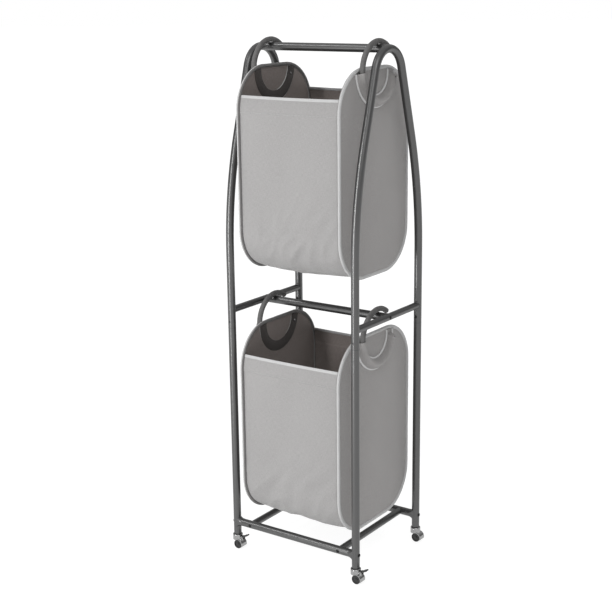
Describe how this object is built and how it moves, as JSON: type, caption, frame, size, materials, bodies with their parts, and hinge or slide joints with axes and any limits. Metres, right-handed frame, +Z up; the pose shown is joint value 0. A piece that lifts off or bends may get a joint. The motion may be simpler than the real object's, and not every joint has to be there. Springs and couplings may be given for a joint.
{
  "type": "rolling laundry sorter",
  "caption": "Tall rolling laundry sorter: a bent-tube steel frame on hooded casters, with fabric bags hung one above the other from rods by foam-covered hook handles.",
  "frame": {"origin": "on the floor under the middle of the whole outline, caster levers included", "axes": "+X along the width to the right-hand arch, +Y from front to back, +Z up"},
  "size_m": [0.5236, 0.417, 1.6529],
  "materials": {
    "frame_paint": "satin dark grey powder coat",
    "dark_fastener": "blackened steel",
    "chrome": "polished chrome plate",
    "black_plastic": "moulded",
    "wheel_plastic": "dark grey nylon",
    "bag_cloth": "light grey woven polyester",
    "end_cloth": "mid grey woven polyester",
    "hoop_piping": "pale grey binding over a wire hoop",
    "foam_grip": "matt closed-cell foam"
  },
  "bodies": {
    "frame": {"upper_arch_left": "frame_paint", "upper_arch_right": "frame_paint", "cross_bar_left": "frame_paint", "cross_bar_right": "frame_paint", "lower_leg_front_left": "frame_paint", "lower_leg_front_right": "frame_paint", "lower_leg_rear_left": "frame_paint", "lower_leg_rear_right": "frame_paint", "front_rail": "frame_paint", "rear_rail": "frame_paint", "base_bar_left": "frame_paint", "base_bar_right": "frame_paint", "top_rod": "frame_paint", "mid_rod": "frame_paint", "leg_joint_screws": "dark_fastener", "rail_bolts": "dark_fastener", "base_bar_bolts": "dark_fastener", "mid_rod_screws": "dark_fastener", "caster_sockets": "black_plastic", "stem_front_left": "chrome", "stem_front_right": "chrome", "stem_rear_left": "chrome", "stem_rear_right": "chrome"},
    "caster_front_left": {"hood_front_left": "chrome", "axle_front_left": "chrome"},
    "wheel_outer_front_left": {"wheel_outer_front_left": "wheel_plastic"},
    "wheel_inner_front_left": {"wheel_inner_front_left": "wheel_plastic"},
    "caster_front_right": {"hood_front_right": "chrome", "axle_front_right": "chrome"},
    "wheel_outer_front_right": {"wheel_outer_front_right": "wheel_plastic"},
    "wheel_inner_front_right": {"wheel_inner_front_right": "wheel_plastic"},
    "caster_rear_left": {"hood_rear_left": "chrome", "axle_rear_left": "chrome"},
    "wheel_outer_rear_left": {"wheel_outer_rear_left": "wheel_plastic"},
    "wheel_inner_rear_left": {"wheel_inner_rear_left": "wheel_plastic"},
    "caster_rear_right": {"hood_rear_right": "chrome", "axle_rear_right": "chrome"},
    "wheel_outer_rear_right": {"wheel_outer_rear_right": "wheel_plastic"},
    "wheel_inner_rear_right": {"wheel_inner_rear_right": "wheel_plastic"},
    "brake_lever_left": {"brake_lever_left": "black_plastic"},
    "brake_lever_right": {"brake_lever_right": "black_plastic"},
    "upper_bag": {"upper_bag_body": "bag_cloth", "upper_bag_end_left": "end_cloth", "upper_bag_end_right": "end_cloth", "upper_bag_hoop_left": "hoop_piping", "upper_bag_hoop_right": "hoop_piping", "upper_bag_grip_left": "foam_grip", "upper_bag_grip_right": "foam_grip", "upper_bag_handle_cores": "dark_fastener", "upper_bag_rivets": "chrome"},
    "lower_bag": {"lower_bag_body": "bag_cloth", "lower_bag_end_left": "end_cloth", "lower_bag_end_right": "end_cloth", "lower_bag_hoop_left": "hoop_piping", "lower_bag_hoop_right": "hoop_piping", "lower_bag_grip_left": "foam_grip", "lower_bag_grip_right": "foam_grip", "lower_bag_handle_cores": "dark_fastener", "lower_bag_rivets": "chrome"}
  },
  "joints": [
    {"name": "swivel_front_left", "type": "hinge", "parent": "frame", "child": "caster_front_left", "pos_m": [-0.2453, -0.184, 0.04], "axis": [0, 0, 1], "continuous": true},
    {"name": "roll_outer_front_left", "type": "hinge", "parent": "caster_front_left", "child": "wheel_outer_front_left", "pos_m": [-0.2383, -0.184, 0.015], "axis": [0, 1, 0], "continuous": true},
    {"name": "roll_inner_front_left", "type": "hinge", "parent": "caster_front_left", "child": "wheel_inner_front_left", "pos_m": [-0.2383, -0.184, 0.015], "axis": [0, 1, 0], "continuous": true},
    {"name": "swivel_front_right", "type": "hinge", "parent": "frame", "child": "caster_front_right", "pos_m": [0.2187, -0.184, 0.04], "axis": [0, 0, 1], "continuous": true},
    {"name": "roll_outer_front_right", "type": "hinge", "parent": "caster_front_right", "child": "wheel_outer_front_right", "pos_m": [0.2257, -0.184, 0.015], "axis": [0, 1, 0], "continuous": true},
    {"name": "roll_inner_front_right", "type": "hinge", "parent": "caster_front_right", "child": "wheel_inner_front_right", "pos_m": [0.2257, -0.184, 0.015], "axis": [0, 1, 0], "continuous": true},
    {"name": "swivel_rear_left", "type": "hinge", "parent": "frame", "child": "caster_rear_left", "pos_m": [-0.2453, 0.184, 0.04], "axis": [0, 0, 1], "continuous": true},
    {"name": "roll_outer_rear_left", "type": "hinge", "parent": "caster_rear_left", "child": "wheel_outer_rear_left", "pos_m": [-0.2383, 0.184, 0.015], "axis": [0, 1, 0], "continuous": true},
    {"name": "roll_inner_rear_left", "type": "hinge", "parent": "caster_rear_left", "child": "wheel_inner_rear_left", "pos_m": [-0.2383, 0.184, 0.015], "axis": [0, 1, 0], "continuous": true},
    {"name": "swivel_rear_right", "type": "hinge", "parent": "frame", "child": "caster_rear_right", "pos_m": [0.2187, 0.184, 0.04], "axis": [0, 0, 1], "continuous": true},
    {"name": "roll_outer_rear_right", "type": "hinge", "parent": "caster_rear_right", "child": "wheel_outer_rear_right", "pos_m": [0.2257, 0.184, 0.015], "axis": [0, 1, 0], "continuous": true},
    {"name": "roll_inner_rear_right", "type": "hinge", "parent": "caster_rear_right", "child": "wheel_inner_rear_right", "pos_m": [0.2257, 0.184, 0.015], "axis": [0, 1, 0], "continuous": true},
    {"name": "brake_left", "type": "hinge", "parent": "caster_front_left", "child": "brake_lever_left", "pos_m": [-0.22531, -0.184, 0.0395], "axis": [0, 1, 0], "range_deg": [0, 24]},
    {"name": "brake_right", "type": "hinge", "parent": "caster_front_right", "child": "brake_lever_right", "pos_m": [0.23869, -0.184, 0.0395], "axis": [0, 1, 0], "range_deg": [0, 24]},
    {"name": "upper_bag_swing", "type": "hinge", "parent": "frame", "child": "upper_bag", "pos_m": [-0.01331, 0, 1.623], "axis": [1, 0, 0], "range_deg": [-20, 20]},
    {"name": "lower_bag_swing", "type": "hinge", "parent": "frame", "child": "lower_bag", "pos_m": [-0.01331, 0, 0.813], "axis": [1, 0, 0], "range_deg": [-20, 20]}
  ]
}
